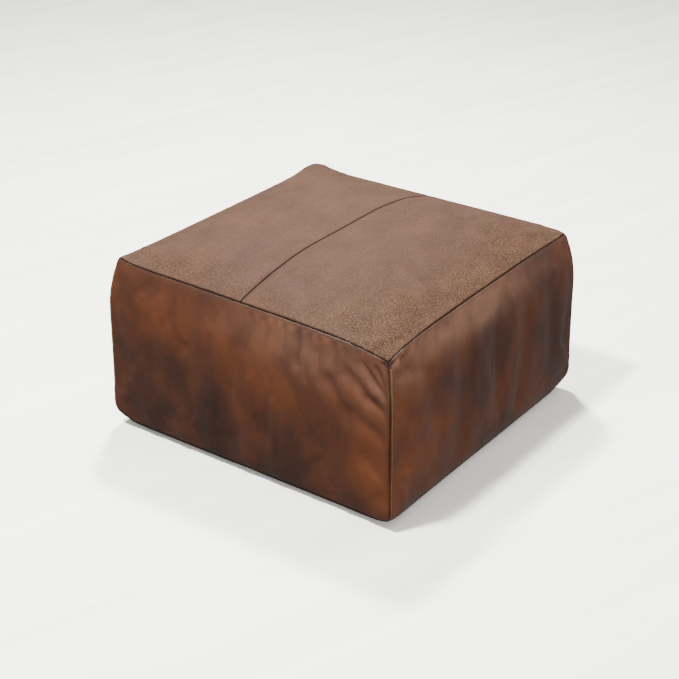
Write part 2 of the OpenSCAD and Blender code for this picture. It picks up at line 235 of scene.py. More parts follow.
def stuff_cover():
    """Blows the sewn cover up by cloth simulation: panels cut slightly full, seams slightly short.
    Returns each face's grid of displacements with the broad swell taken out, so that the folds remain."""
    grids, start, faces, weights = {}, 0, [], []
    for face, (n, m) in SIM_STEPS.items():
        a, b = np.linspace(-1, 1, n), np.linspace(-1, 1, m)
        grids[face] = (start, face_form(face, a, b))
        faces.append(grid_faces(n, m) + start)
        A, B = np.meshgrid(a, b, indexing="ij")
        rim = np.maximum(np.abs(A), np.abs(B))
        weights.append((rim > 0.999).ravel())
        start += n * m
    points = np.concatenate([g.reshape(-1, 3) for _, g in grids.values()])
    keys = np.round(points * 2e4).astype(np.int64)
    _, first, back = np.unique(keys, axis=0, return_index=True, return_inverse=True)
    back = back.ravel()
    sewn = make_mesh("sewn", points[first], back[np.concatenate(faces)])
    seam = np.zeros(len(first), bool)
    seam[back[np.concatenate(weights)]] = True
    short = sewn.vertex_groups.new(name="short")
    short.add(np.flatnonzero(seam).tolist(), 1.0, "REPLACE")
    held = sewn.vertex_groups.new(name="held")
    z = points[first][:, 2]
    held.add(np.flatnonzero(z < 0.012).tolist(), 1.0, "REPLACE")
    cloth = sewn.modifiers.new("stuffing", "CLOTH")
    s = cloth.settings
    s.quality = 6
    s.mass = 0.9
    s.air_damping = 4
    s.tension_stiffness = s.compression_stiffness = 40
    s.shear_stiffness = 20
    s.bending_stiffness = 1.2
    s.vertex_group_mass = "held"
    s.pin_stiffness = 1
    s.vertex_group_shrink = "short"
    s.shrink_min = -0.03
    s.shrink_max = 0.012
    s.use_pressure = True
    s.uniform_pressure_force = 4
    s.effector_weights.gravity = 0
    cloth.collision_settings.use_collision = False
    cloth.collision_settings.use_self_collision = False
    cloth.point_cache.frame_start, cloth.point_cache.frame_end = 1, 24
    scene = bpy.context.scene
    for f in range(1, 23):
        scene.frame_set(f)
    done = sewn.evaluated_get(bpy.context.evaluated_depsgraph_get()).to_mesh()
    moved = (read_points(done) - points[first])[back]
    scene.frame_set(1)
    bpy.data.objects.remove(sewn)
    folds = {}
    for face, (begin, g) in grids.items():
        n, m = g.shape[:2]
        d = moved[begin:begin + n * m].reshape(n, m, 3)
        broad = np.einsum("pi,ijk,qj->pqk", blur_rows(n, 5.0), d, blur_rows(m, 5.0))
        size = np.linalg.norm(d - broad, axis=-1, keepdims=True)
        held_back = FOLD_SHARE * FOLD_CAP * np.tanh(size / FOLD_CAP) / np.maximum(size, 1e-9)
        folds[face] = (d - broad) * held_back
    return folds


def fold_weights(n, at):
    """Catmull-Rom weights that read n even samples over -1 to 1 at the given places."""
    s = (np.clip(at, -1, 1) + 1) / 2 * (n - 1)
    i = np.minimum(s.astype(int), n - 2)
    f = s - i
    w = np.stack([-f + 2 * f ** 2 - f ** 3, 2 - 5 * f ** 2 + 3 * f ** 3,
                  f + 4 * f ** 2 - 3 * f ** 3, -f ** 2 + f ** 3], -1) / 2
    out = np.zeros((len(at), n))
    for k in range(4):
        np.add.at(out, (np.arange(len(at)), np.clip(i + k - 1, 0, n - 1)), w[:, k])
    return out


def read_folds(face, a, b):
    """The simulated folds of one face, read smoothly at any two rows of parameters."""
    if FOLDS is None:
        return 0.0
    d = FOLDS[face]
    return np.einsum("pi,ijk,qj->pqk", fold_weights(d.shape[0], a), d, fold_weights(d.shape[1], b))


FOLDS = stuff_cover()


# ---- Creases and dents that the hide has taken ----

def crease(X, Y, x0, y0, x1, y1, width, depth):
    """A soft trough from one point to another: a bell across the line, fading in and out along
    it."""
    dx, dy = x1 - x0, y1 - y0
    long = math.hypot(dx, dy)
    t = ((X - x0) * dx + (Y - y0) * dy) / long ** 2
    off = ((X - x0) * dy - (Y - y0) * dx) / long
    ends = ease(t / 0.3 + 0.5) * ease((1 - t) / 0.45 + 0.5)
    return -depth * np.exp(-((off / width) ** 2)) * ends


def puckers(X, Z, x0, x1, pitch, depth, drop):
    """Small upright gathers under a seam: a rounded wave along it, strongest just below it and
    fading down."""
    wave = np.sin(2 * math.pi * (X + 0.004 * np.sin(X * 90)) / pitch)
    along = ease((X - x0) / 0.03) * ease((x1 - X) / 0.03)
    down = ease(Z / 0.006) * np.exp(-Z / drop)
    return depth * wave * along * down


def front_creases(X, Z):
    """Creases of the front panel: X along it from the middle, Z down from the top seam."""
    h = puckers(X, Z, -0.01, 0.22, 0.0235, 0.0030, 0.045)
    for c in ((0.240, 0.024, 0.290, 0.070, 0.0065, 0.0055), (0.266, 0.020, 0.290, 0.062, 0.0050, 0.0045),
              (0.212, 0.046, 0.262, 0.088, 0.0105, 0.0042), (0.245, 0.080, 0.287, 0.094, 0.0085, 0.0034),
              (0.175, 0.066, 0.222, 0.140, 0.0130, 0.0060),
              (0.215, 0.110, 0.286, 0.150, 0.0140, 0.0040), (0.215, 0.034, 0.284, 0.076, 0.0070, -0.0016),
              (0.15, 0.03, 0.165, 0.09, 0.010, 0.0034), (0.11, 0.02, 0.118, 0.075, 0.008, 0.0036),
              (0.06, 0.03, 0.04, 0.16, 0.016, 0.0030), (0.0, 0.05, -0.03, 0.21, 0.022, 0.0026),
              (0.1, 0.06, 0.09, 0.17, 0.014, 0.0026), (-0.1, 0.09, -0.14, 0.25, 0.03, 0.0028),
              (-0.2, 0.08, -0.19, 0.2, 0.028, 0.0022), (-0.27, 0.03, -0.23, 0.1, 0.012, 0.002),
              (0.05, 0.2, -0.08, 0.29, 0.03, 0.0028)):
        h = h + crease(X, Z, *c)
    return h + puckers(X + 0.013, SIDE_TALL - Z, -0.27, 0.27, 0.071, 0.0022, 0.05)


def right_creases(X, Z):
    """Creases of the right panel: X along it from the middle towards the back, Z down from the top
    seam."""
    h = puckers(X, Z, -0.27, -0.12, 0.03, 0.0012, 0.03)
    for c in ((-0.262, 0.010, -0.238, 0.05, 0.009, 0.0065), (-0.285, 0.05, -0.235, 0.14, 0.012, 0.004),
              (-0.275, 0.03, -0.17, 0.075, 0.010, 0.0035), (-0.270, 0.006, -0.262, 0.034, 0.006, -0.0055),
              (-0.2, 0.05, -0.16, 0.2, 0.022, 0.0042), (-0.08, 0.06, -0.1, 0.26, 0.026, 0.0058),
              (0.03, 0.05, 0.02, 0.24, 0.020, 0.0062), (0.12, 0.08, 0.1, 0.26, 0.020, 0.005),
              (0.2, 0.05, 0.21, 0.22, 0.018, 0.004), (0.27, 0.02, 0.22, 0.08, 0.012, 0.003)):
        h = h + crease(X, Z, *c)
    return h


def plain_creases(X, Z):
    """Creases of a panel at the back: a few broad troughs and light gathers."""
    h = puckers(X, Z, -0.2, 0.16, 0.027, 0.0011, 0.035)
    for c in ((-0.27, 0.03, -0.16, 0.14, 0.014, 0.0034), (0.27, 0.03, 0.17, 0.13, 0.013, 0.003),
              (-0.06, 0.06, -0.08, 0.24, 0.026, 0.0034), (0.05, 0.05, 0.06, 0.22, 0.024, 0.003),
              (0.16, 0.08, 0.14, 0.26, 0.024, 0.003)):
        h = h + crease(X, Z, *c)
    return h


def top_creases(X, Y):
    """Soft dents of the top: a shallow hollow before the front corner and a few faint sags."""
    h = crease(X, Y, -0.03, -0.19, 0.22, -0.22, 0.035, 0.0035)
    for c in ((0.23, -0.27, 0.12, -0.17, 0.03, 0.003), (-0.25, -0.2, -0.1, -0.15, 0.04, 0.0015),
              (0.1, 0.05, 0.24, 0.16, 0.05, 0.0015), (-0.2, 0.1, -0.22, 0.24, 0.03, 0.002),
              (-0.27, 0.2, -0.24, 0.27, 0.02, 0.002)):
        h = h + crease(X, Y, *c)
    return h


PINCHED = {"front": (1, 0.0055), "right": (-1, 0.0095)}
CREASES = {"front": front_creases, "right": right_creases, "back": plain_creases, "left": plain_creases}


# ---- Panels of hide ----

ROLL_BOX = 0.0023
ROLL_FLAT = 0.0026
ROLL_REACH = ROLL_BOX * math.tan(math.radians(67.5))
ROLL_STEPS = 7
CUT_STEP = 0.00012
ALLOWANCE = 0.009
SEAM_SLIT = 0.0002
PANEL_STEP = 0.0033


def seam_samples(low, high, step, low_gap, high_gap, length):
    """Parameters from low to high, as places along length metres: close together near both seams and even between.
    The first and last stand the roll's reach short of the seam."""
    close = np.array([0, 0.0009, 0.002, 0.0033, 0.0046, 0.0055, 0.0064, 0.0078, 0.0096, 0.0118, 0.0142])
    a = low_gap + close
    b = length - high_gap - close[::-1]
    n = max(2, int(round((b[0] - a[-1]) / step)))
    mid = np.linspace(a[-1], b[0], n + 1)[1:-1]
    s = np.concatenate([a, mid, b]) / length
    return low + (high - low) * s


def rim_loop(n, m):
    """Indices of an n by m grid's rim, once round, anticlockwise seen from outside."""
    i, j = np.arange(n), np.arange(m)
    a = np.concatenate([i, np.full(m - 1, n - 1), i[::-1][1:], np.zeros(m - 2, int)])
    b = np.concatenate([np.zeros(n, int), j[1:], np.full(n - 1, m - 1), j[::-1][1:-1]])
    return a, b


def roll_in(P, S, inward, turn):
    """Rolls a panel's rim into its seam: an arc that starts along the panel and ends along the seam's mitre,
    its radius set by how far the rim P stands from the seam S, then a flat allowance down the mitre.
    Where turn is 0 the rim stays flat, as a cut edge."""
    e = S - P
    reach = np.linalg.norm(e, axis=-1, keepdims=True)
    e = e / reach
    m = inward / np.linalg.norm(inward, axis=-1, keepdims=True)
    cos = np.sum(e * m, -1, keepdims=True)
    angle = np.arccos(np.clip(cos, -1, 1))
    down = m - cos * e
    down = down / np.linalg.norm(down, axis=-1, keepdims=True)
    q = np.broadcast_to(turn, len(P))[:, None]
    radius = reach / np.tan(angle / 2)
    rows = []
    for k in range(1, ROLL_STEPS + 1):
        f = angle * k / ROLL_STEPS
        arc = e * radius * np.sin(f) + down * radius * (1 - np.cos(f))
        rows.append(P + q * arc + (1 - q) * e * CUT_STEP * k)
    last = rows[-1]
    for k in range(1, 4):
        rows.append(last + q * m * (ALLOWANCE * k / 3) + (1 - q) * e * CUT_STEP * k)
    return rows


def panel(name, P, S, inward, turn=1.0):
    """A panel from its grid of points, the seam line round it and the seam's inward direction."""
    n, m = P.shape[:2]
    a, b = rim_loop(n, m)
    idx = a * m + b
    rows = roll_in(P[a, b], S, inward, turn)
    verts = np.concatenate([P.reshape(-1, 3)] + rows)
    faces = [grid_faces(n, m)] + skirt_faces(idx, len(rows), n * m)
    obj = make_mesh(name, verts, np.concatenate(faces))
    give_depth(obj, n * m, len(idx))
    return thicken(obj, HIDE, use_rim=True, material_offset=1, material_offset_rim=1)


def give_number(obj, name, grid_value, rim_from):
    """Stores a number per vertex: the grid's values, and along the rolled rim the rim's own
    value."""
    L = len(rim_from)
    rest = len(obj.data.vertices) - grid_value.size
    flat = grid_value.ravel()
    values = np.concatenate([flat, np.tile(flat[rim_from], rest // L)])
    attribute = obj.data.attributes.new(name, "FLOAT", "POINT")
    attribute.data.foreach_set("value", values.astype(np.float32))


def give_depth(obj, grid_size, loop_size):
    """Stores how far each point has gone into its seam: 0 on the open panel, 1 at the end of the
    roll."""
    rows = np.minimum(np.arange(1, ROLL_STEPS + 4) / ROLL_STEPS, 1)
    values = np.concatenate([np.zeros(grid_size), np.repeat(rows, loop_size)])
    attribute = obj.data.attributes.new("seam_depth", "FLOAT", "POINT")
    attribute.data.foreach_set("value", values.astype(np.float32))


def patch(X, Y, x, y, wx, wy):
    """A soft oval patch, 1 in its middle."""
    return np.exp(-(((X - x) / wx) ** 2 + ((Y - y) / wy) ** 2))


def side_dye_and_shading(face, X, Z):
    """How strong the patches are over a side panel, as a sum of soft patches: above 0 redder, below 0 darker.
    They are partly uneven dye and partly painted light: redder mostly high up and by the front corner, as painted
    highlight, and darker mostly lower down, as painted shade towards the base.
    """
    spots = {
        "front": ((0.45, -0.25, 0.06, 0.09, 0.06), (0.5, -0.13, 0.08, 0.08, 0.05), (0.7, 0.23, 0.1, 0.07, 0.035),
                  (0.55, 0.26, 0.2, 0.04, 0.1), (0.5, 0.07, 0.13, 0.09, 0.04), (0.4, -0.02, 0.1, 0.03, 0.05),
                  (-0.8, 0.12, 0.22, 0.06, 0.08), (-0.5, -0.06, 0.19, 0.07, 0.07), (-0.6, 0.03, 0.28, 0.2, 0.04),
                  (-0.35, 0.05, 0.03, 0.07, 0.03), (-0.4, 0.03, 0.16, 0.03, 0.05), (-0.3, -0.21, 0.2, 0.04, 0.06)),
        "right": ((0.7, -0.26, 0.09, 0.04, 0.06), (0.45, -0.24, 0.22, 0.06, 0.06), (0.45, -0.13, 0.06, 0.07, 0.04),
                  (0.35, 0.1, 0.09, 0.07, 0.05), (0.3, -0.12, 0.16, 0.03, 0.06), (-0.8, -0.09, 0.17, 0.05, 0.09),
                  (-0.8, 0.05, 0.14, 0.05, 0.08), (-0.6, 0.22, 0.14, 0.06, 0.09), (-0.4, 0.0, 0.06, 0.05, 0.025),
                  (-0.35, -0.02, 0.27, 0.2, 0.05)),
        "plain": ((0.6, -0.22, 0.08, 0.08, 0.06), (0.6, 0.2, 0.12, 0.08, 0.07), (0.4, 0.0, 0.1, 0.08, 0.05),
                  (-0.7, -0.08, 0.2, 0.08, 0.07), (-0.6, 0.1, 0.24, 0.08, 0.05))}
    return sum(share * patch(X, Z, *at) for share, *at in spots.get(face, spots["plain"]))


def pinch(X, Z, x):
    """1 in the dimple where a panel is pinched into the front top corner, at that side of the
    panel."""
    return np.exp(-(((X - x * SEAM_HALF) / 0.016) ** 2 + (Z / 0.014) ** 2))


def side_highlight(face, X, Z):
    """Painted highlight on a side panel: a paler strip below the top seam, where the side turns
    over towards the top, stronger along parts of it."""
    where = {"front": ((0.6, 0.1, 0.035, 0.13, 0.05), (0.4, 0.25, 0.07, 0.05, 0.05)),
             "right": ((1.9, -0.04, 0.026, 0.19, 0.030), (0.35, -0.23, 0.05, 0.05, 0.03)),
             "back": ((0.6, 0.05, 0.03, 0.18, 0.035),), "left": ((0.6, -0.05, 0.03, 0.18, 0.035),)}
    return sum(share * patch(X, Z, *at) for share, *at in where[face])


def side_panel(face):
    """One side panel: the swollen form, its folds and creases, and a fine trough under the edge
    stitching."""
    reach = ROLL_REACH
    a = seam_samples(-1, 1, PANEL_STEP, reach, reach, 2 * SEAM_HALF)
    b = seam_samples(-1, 1, PANEL_STEP, reach, reach, SIDE_TALL)
    P = face_form(face, a, b) + read_folds(face, a, b)
    A, B = np.meshgrid(a, b, indexing="ij")
    X, Z = A * SEAM_HALF, (1 - B) / 2 * SIDE_TALL
    to_seam = np.minimum(SEAM_HALF - np.abs(X), np.minimum(Z, SIDE_TALL - Z))
    height = CREASES[face](X, Z) * ease((to_seam - reach) / 0.012)
    stitched = np.minimum(X + SEAM_HALF, Z)
    height -= 0.0005 * np.exp(-(((stitched - STITCH_IN) / 0.0014) ** 2))
    if face in PINCHED:
        hand, depth = PINCHED[face]
        height -= depth * pinch(X, Z, hand) * ease((to_seam - reach) / 0.005)
    P = P + normals_of(P) * height[..., None]
    i, j = rim_loop(len(a), len(b))
    sa = np.where((i == 0) | (i == len(a) - 1), np.sign(a[i]), a[i])
    sb = np.where((j == 0) | (j == len(b) - 1), np.sign(b[j]), b[j])
    S, inward = seam_line(face, sa, sb)
    obj = panel("hide_" + face, P, S, inward)
    loop = i * len(b) + j
    # Patches of dye and painted light: redder high up, as painted highlight, darker lower down, as painted shade.
    give_number(obj, "dye_and_shading", side_dye_and_shading(face, X, Z), loop)
    # Painted highlight: a paler strip under the top seam.
    give_number(obj, "strip_highlight", side_highlight(face, X, Z), loop)
    # Painted shade: darker within about a centimetre of each seam, and in the dimple pinched in under the front top
    # corner.
    shade_weight = np.exp(-to_seam / 0.012)
    if face in PINCHED:
        shade_weight = np.maximum(shade_weight, 1.6 * pinch(X, Z, PINCHED[face][0]))
    give_number(obj, "seam_shade", shade_weight, loop)
    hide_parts("side_panel_" + face)
    return obj, (a, b, P)


def seam_line(face, sa, sb):
    """Points of the seam round a face, and the way its allowances point: in from every face that
    meets there."""
    S = swollen(*FACES[face][0](sa, sb))
    if FOLDS is not None:
        d = FOLDS[face]
        wa, wb = fold_weights(d.shape[0], sa), fold_weights(d.shape[1], sb)
        S = S + np.einsum("pi,ijk,pj->pk", wa, d, wb)
    box = np.stack(FACES[face][0](sa, sb), -1)
    box[:, 2] = box[:, 2] * 2 - 1
    inward = -np.where(np.abs(box) > 0.999, np.sign(box), 0.0)
    outward = np.array(FACES[face][1], float)
    toward = -np.where((np.abs(box) > 0.999) & (outward == 0), np.sign(box), 0.0)
    toward /= np.maximum(np.linalg.norm(toward, axis=-1, keepdims=True), 1e-9)
    return S + toward * SEAM_SLIT, inward


STITCH_IN = 0.0064
panels = {}
for side in SIDES:
    panels[side], grid = side_panel(side)
    panels[side + "_grid"] = grid


def top_half(name, sign):
    """Half of the top: its inner edge meets the other half at the centre seam, the rest meets the
    side panels."""
    reach = ROLL_REACH
    mid = SEAM_X / SEAM_HALF
    if sign < 0:
        a = seam_samples(-1, mid, PANEL_STEP, reach, ROLL_FLAT, SEAM_HALF + SEAM_X)
    else:
        a = seam_samples(mid, 1, PANEL_STEP, ROLL_FLAT, reach, SEAM_HALF - SEAM_X)
    b = seam_samples(-1, 1, PANEL_STEP, reach, reach, 2 * SEAM_HALF)
    P = face_form("top", a, b) + read_folds("top", a, b)
    A, B = np.meshgrid(a, b, indexing="ij")
    X, Y = A * SEAM_HALF, B * SEAM_HALF
    to_rim = SEAM_HALF - np.maximum(np.abs(X), np.abs(Y))
    height = top_creases(X, Y) * ease((to_rim - reach) / 0.02)
    gather = 0.00045 * np.sin(Y * 2 * math.pi / 0.019 + 2 * np.sin(Y * 31))
    gather *= np.exp(-np.abs(X - SEAM_X) / 0.012)
    height += gather * ease((np.abs(X - SEAM_X) - ROLL_FLAT) / 0.004)
    P = P + normals_of(P) * height[..., None]
    i, j = rim_loop(len(a), len(b))
    low_a, high_a = (-1.0, mid) if sign < 0 else (mid, 1.0)
    sa = np.where(i == 0, low_a, np.where(i == len(a) - 1, high_a, a[i]))
    sb = np.where(j == 0, -1.0, np.where(j == len(b) - 1, 1.0, b[j]))
    S, inward = seam_line("top", sa, sb)
    centre = np.abs(sa - mid) < 1e-9
    S[centre, 0] += sign * SEAM_SLIT
    inward[centre] = inward[centre] + np.array([0, 0, -1.0])
    inward[centre & (j > 0) & (j < len(b) - 1)] = np.array([0, 0, -1.0])
    obj = panel(name, P, S, inward)
    loop = i * len(b) + j
    rim = np.maximum(np.abs(A), np.abs(B))
    # Darker golden rim and patches along the front and right edges: partly the hide's tone, partly painted shade where
    # the top rolls over.
    corner = patch(X, Y, 0.25, -0.25, 0.12, 0.12) + 0.6 * patch(X, Y, 0.27, 0.0, 0.07, 0.2)
    corner += 0.5 * patch(X, Y, 0.2, 0.2, 0.12, 0.12) + 0.35 * patch(X, Y, -0.2, -0.27, 0.2, 0.05)
    give_number(obj, "tan", np.clip(corner + 0.45 * rim ** 8, 0, 1.2), loop)
    # Painted shade: darker within about a centimetre of the rim seams and of the centre seam.
    give_number(obj, "seam_shade", np.exp(-np.minimum(to_rim, np.abs(X - SEAM_X)) / 0.012), loop)
    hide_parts("top_panel_" + ("left" if sign < 0 else "right"))
    return obj


panels["top_left"] = top_half("hide_top_left", -1)
panels["top_right"] = top_half("hide_top_right", 1)


def base_half(name, sign):
    """Half of the base: its inner edge is a cut edge beside the zip, and beyond it meets the other
    half in a seam."""
    reach = ROLL_REACH
    low_gap, high_gap = (reach, ROLL_FLAT) if sign < 0 else (ROLL_FLAT, reach)
    low, high = (-1, 0) if sign < 0 else (0, 1)
    a = seam_samples(low, high, 0.005, low_gap, high_gap, SEAM_HALF)
    b = seam_samples(-1, 1, 0.004, reach, reach, 2 * SEAM_HALF)
    closing = (ZIP_HALF + np.array([0.0005, 0.0020, 0.0035])) / SEAM_HALF
    b = b[np.abs(np.abs(b) - closing[1]) * SEAM_HALF > 0.0035]
    b = np.sort(np.concatenate([b, -closing, closing]))
    A, B = np.meshgrid(a, b, indexing="ij")
    Y = -B * SEAM_HALF
    zipped = ease((ZIP_HALF + 0.0035 - np.abs(Y)) / 0.003)
    cut = ZIP_GAP / SEAM_HALF
    move = zipped * np.clip(1 - np.abs(A) / (CHANNEL_EDGE / SEAM_HALF), 0, 1)
    A2 = A + sign * (cut - ROLL_FLAT / SEAM_HALF) * move
    x, y, t = FACES["base"][0](A2, B)
    calm = ease((np.abs(A) * SEAM_HALF - CHANNEL_EDGE) / 0.02)
    P = swollen(x, y, t) + read_folds("base", a, b) * 0.3 * calm[..., None]
    P[..., 2] = np.maximum(P[..., 2], 0.0)
    i, j = rim_loop(len(a), len(b))
    inner, outer = (len(a) - 1, 0) if sign < 0 else (0, len(a) - 1)
    sa = np.where(i == outer, sign * 1.0, A2[i, j])
    inner = i == inner
    zip_here = zipped[i, j] * inner
    sa = np.where(inner, sign * cut * zip_here, sa)
    sb = np.where(j == 0, -1.0, np.where(j == len(b) - 1, 1.0, b[j]))
    S, inward = seam_line("base", sa, sb)
    plain = inner & (j > 0) & (j < len(b) - 1)
    S[plain, 0] += sign * SEAM_SLIT
    inward[plain] = np.array([0, 0, 1.0])
    cut_edge = inner & (zip_here > 0.98)
    S[cut_edge] = P[i, j][cut_edge] - np.array([sign * 0.0004, 0, 0])
    obj = panel(name, P, S, inward, turn=np.where(inner, 1 - zip_here, 1.0))
    loop = i * len(b) + j
    give_number(obj, "seam_shade", 0 * A, loop)
    give_number(obj, "dye_and_shading", -0.3 + 0 * A, loop)
    give_number(obj, "strip_highlight", 0 * A, loop)
    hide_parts("bottom_panel_" + ("left" if sign < 0 else "right"))
    return obj


panels["base_left"] = base_half("hide_base_left", -1)
panels["base_right"] = base_half("hide_base_right", 1)

# ---- Threads ----

def stitches(name, middles, along, up, length, radius):
    """Short rounded stitches: one small spindle of six sides at each point, lying along the
    seam."""
    along = along / np.linalg.norm(along, axis=-1, keepdims=True)
    side = np.cross(up, along)
    side /= np.linalg.norm(side, axis=-1, keepdims=True)
    up = np.cross(along, side)
    rings = np.array([(-0.5, 0.25), (-0.42, 0.75), (-0.2, 1.0), (0.2, 1.0), (0.42, 0.75), (0.5, 0.25)])
    turns = np.arange(6) * math.pi / 3
    local = np.array([(length * r[0], radius * r[1] * math.cos(t), radius * r[1] * math.sin(t))
                      for r in rings for t in turns])
    V = (middles[:, None] + local[None, :, 0:1] * along[:, None]
         + local[None, :, 1:2] * side[:, None] + local[None, :, 2:3] * up[:, None])
    quads = [[r * 6 + k, r * 6 + (k + 1) % 6, (r + 1) * 6 + (k + 1) % 6, (r + 1) * 6 + k]
             for r in range(5) for k in range(6)]
    F = (np.array(quads)[None] + (np.arange(len(middles)) * 36)[:, None, None]).reshape(-1, 4).tolist()
    caps = [[base + k for k in (5, 4, 3, 2, 1, 0)] for base in range(0, len(middles) * 36, 36)]
    caps += [[base + 30 + k for k in range(6)] for base in range(0, len(middles) * 36, 36)]
    return make_mesh(name, V, F + caps)


def spaced(line, pitch, margin):
    """Even places along a line of points: the points, and the line's direction there."""
    step = np.linalg.norm(np.diff(line, axis=0), axis=-1)
    s = np.concatenate([[0], np.cumsum(step)])
    n = int((s[-1] - 2 * margin) / pitch)
    at = margin + (s[-1] - 2 * margin - n * pitch) / 2 + pitch * (np.arange(n) + 0.5)
    P = np.stack([np.interp(at, s, line[:, k]) for k in range(3)], -1)
    Q = np.stack([np.interp(at + 0.001, s, line[:, k]) for k in range(3)], -1)
    return P, Q - P, at / s[-1]


CLOSING_PITCH, CLOSING_LEN, CLOSING_R = 0.006, 0.0048, 0.00045
TOPSTITCH_PITCH, TOPSTITCH_LEN, TOPSTITCH_R = 0.0052, 0.0043, 0.00048
STITCH_PROUD = {"edge_stitching_corner": 0.00025, "edge_stitching_top": 0.00005}


def edge_stitching():
    """Tan stitching beside the corner seams and below the top seam, lying on each side panel's own
    surface."""
    rows = {"edge_stitching_corner": [], "edge_stitching_top": []}
    for side in SIDES:
        a, b, P = panels[side + "_grid"]
        N = normals_of(P)
        i = int(np.argmin(np.abs((a + 1) * SEAM_HALF - STITCH_IN)))
        j = int(np.argmin(np.abs((1 - b) / 2 * SIDE_TALL - STITCH_IN)))
        for key, line, up in (("edge_stitching_corner", P[i], N[i]), ("edge_stitching_top", P[:, j], N[:, j])):
            at, way, s = spaced(line, TOPSTITCH_PITCH, 0.008)
            out = np.stack([np.interp(s, np.linspace(0, 1, len(line)), up[:, k]) for k in range(3)], -1)
            out /= np.linalg.norm(out, axis=-1, keepdims=True)
            rows[key].append((at + out * STITCH_PROUD[key], way, out))
    made = []
    for key, parts in rows.items():
        at, way, out = (np.concatenate([p[k] for p in parts]) for k in range(3))
        made.append(stitches(key, at, way, out, TOPSTITCH_LEN, TOPSTITCH_R))
    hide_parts("corner_topstitching")
    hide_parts("top_edge_topstitching")
    return made


def seam_path(face, sa, sb, depth):
    S, inward = seam_line(face, sa, sb)
    inward = inward / np.linalg.norm(inward, axis=-1, keepdims=True)
    return S + inward * depth, inward


def closing_thread(name, paths, node):
    """The thread that closes a seam: short stitches along it, on the outer side of one
    allowance."""
    parts = []
    for face, sa, sb in paths:
        line, inward = seam_path(face, sa, sb, 0.0085)
        at, way, _ = spaced(line, CLOSING_PITCH, 0.02)
        lift = np.cross(way, np.broadcast_to(inward[len(inward) // 2], way.shape))
        lift /= np.linalg.norm(lift, axis=-1, keepdims=True)
        for hand in (-1, 1):
            parts.append((at + lift * hand * (HIDE + 0.0006), way, lift))
    at, way, out = (np.concatenate([p[k] for p in parts]) for k in range(3))
    obj = stitches(name, at, way, out, CLOSING_LEN, CLOSING_R)
    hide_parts(node)
    return obj


run = np.linspace(-1, 1, 120)
one = np.ones_like(run)
square = ((run, -one), (one, run), (-run, one), (-one, -run))
threads = [
    closing_thread("thread_top_edge", [("top", *way) for way in square], "top_edge_stitching"),
    closing_thread("thread_corners", [(side, -one, run) for side in SIDES], "corner_stitching"),
    closing_thread("thread_base_edge", [("base", *way) for way in square], "bottom_edge_stitching"),
]


def centre_thread(name, top, y_low, y_high, node):
    """Closing thread of a seam that runs front to back through the middle of the top or the
    base."""
    parts = []
    for low, high in zip(y_low, y_high):
        y = np.linspace(low, high, 80)
        P = swollen((SEAM_X / SEAM_HALF if top else 0.0) + 0 * y, y, (1.0 if top else 0.0) + 0 * y)
        P[:, 2] += -0.0075 if top else 0.0055
        at, way, _ = spaced(P, CLOSING_PITCH, 0.006)
        for hand in (-1, 1):
            lift = np.broadcast_to(np.array([hand, 0.0, 0.0]), at.shape)
            parts.append((at + lift * (HIDE + 0.0007), way, lift))
    at, way, out = (np.concatenate([p[k] for p in parts]) for k in range(3))
    obj = stitches(name, at, way, out, CLOSING_LEN, CLOSING_R)
    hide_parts(node)
    return obj


zip_end = ZIP_HALF / SEAM_HALF
threads.append(centre_thread("thread_top_centre", True, [-0.96], [0.96], "top_centre_stitching"))
threads.append(centre_thread("thread_base_centre", False, [-0.95, zip_end + 0.02],
                             [-zip_end - 0.02, 0.95], "bottom_centre_stitching"))
tan_threads = edge_stitching()


def zip_thread(name, sign, node):
    """Two rows of stitching that hold one tape to the base, seen as small stitches under the
    leather."""
    y = np.arange(-ZIP_HALF + 0.004, ZIP_HALF - 0.004, 0.004)
    x = np.full_like(y, sign * 0.0105)
    at = np.stack([x, y, np.full_like(y, CHANNEL_RISE - 0.0002)], -1)
    over = at + np.array([0, 0, HIDE + 0.0008 + 0.0004])
    way = np.broadcast_to(np.array([0.0, 1.0, 0.0]), at.shape)
    up = np.broadcast_to(np.array([0.0, 0.0, -1.0]), at.shape)
    at, way, up = (np.concatenate(pair) for pair in ((at, over), (way, way), (up, up)))
    obj = stitches(name, at, way, up, 0.0033, CLOSING_R)
    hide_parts(node)
    return obj


tan_threads += [zip_thread("thread_zip_left", -1, "zip_stitching_left"),
                zip_thread("thread_zip_right", 1, "zip_stitching_right")]

# ---- Zip tapes ----

def tape(name, node):
    """A woven tape: a thin flat strip with a thicker cord along the edge that holds the teeth."""
    lo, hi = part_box(node)
    sign = 1 if hi.x + lo.x > 0 else -1
    u = np.linspace(0, 1, 15)
    y = np.linspace(lo.y, hi.y, 240)
    inner = min(abs(lo.x), abs(hi.x))
    wide = hi.x - lo.x
    U, Y = np.meshgrid(u, y, indexing="ij")
    bead = np.exp(-((U * wide - 0.0006) / 0.0008) ** 2)
    thick = 0.00045 + 0.00035 * bead
    mid = (lo.z + hi.z) / 2
    X = sign * (inner + U * wide)
    up = np.stack([X, Y, mid + thick], -1)
    down = np.stack([X, Y, mid - thick], -1)
    n, m = len(u), len(y)
    i, j = rim_loop(n, m)
    ring = i * m + j
    after = np.roll(ring, -1)
    top = grid_faces(n, m)
    wall = np.stack([ring, ring + n * m, after + n * m, after], -1)
    faces = np.concatenate([top, top[:, ::-1] + n * m, wall])
    obj = make_mesh(name, np.stack([up, down]), faces if sign > 0 else faces[:, ::-1])
    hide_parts(node)
    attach(obj, "cover")
    return obj


tapes = [tape("tape_left", "zip_tape_left"), tape("tape_right", "zip_tape_right")]

# ---- Calico bag, wadding and core ----

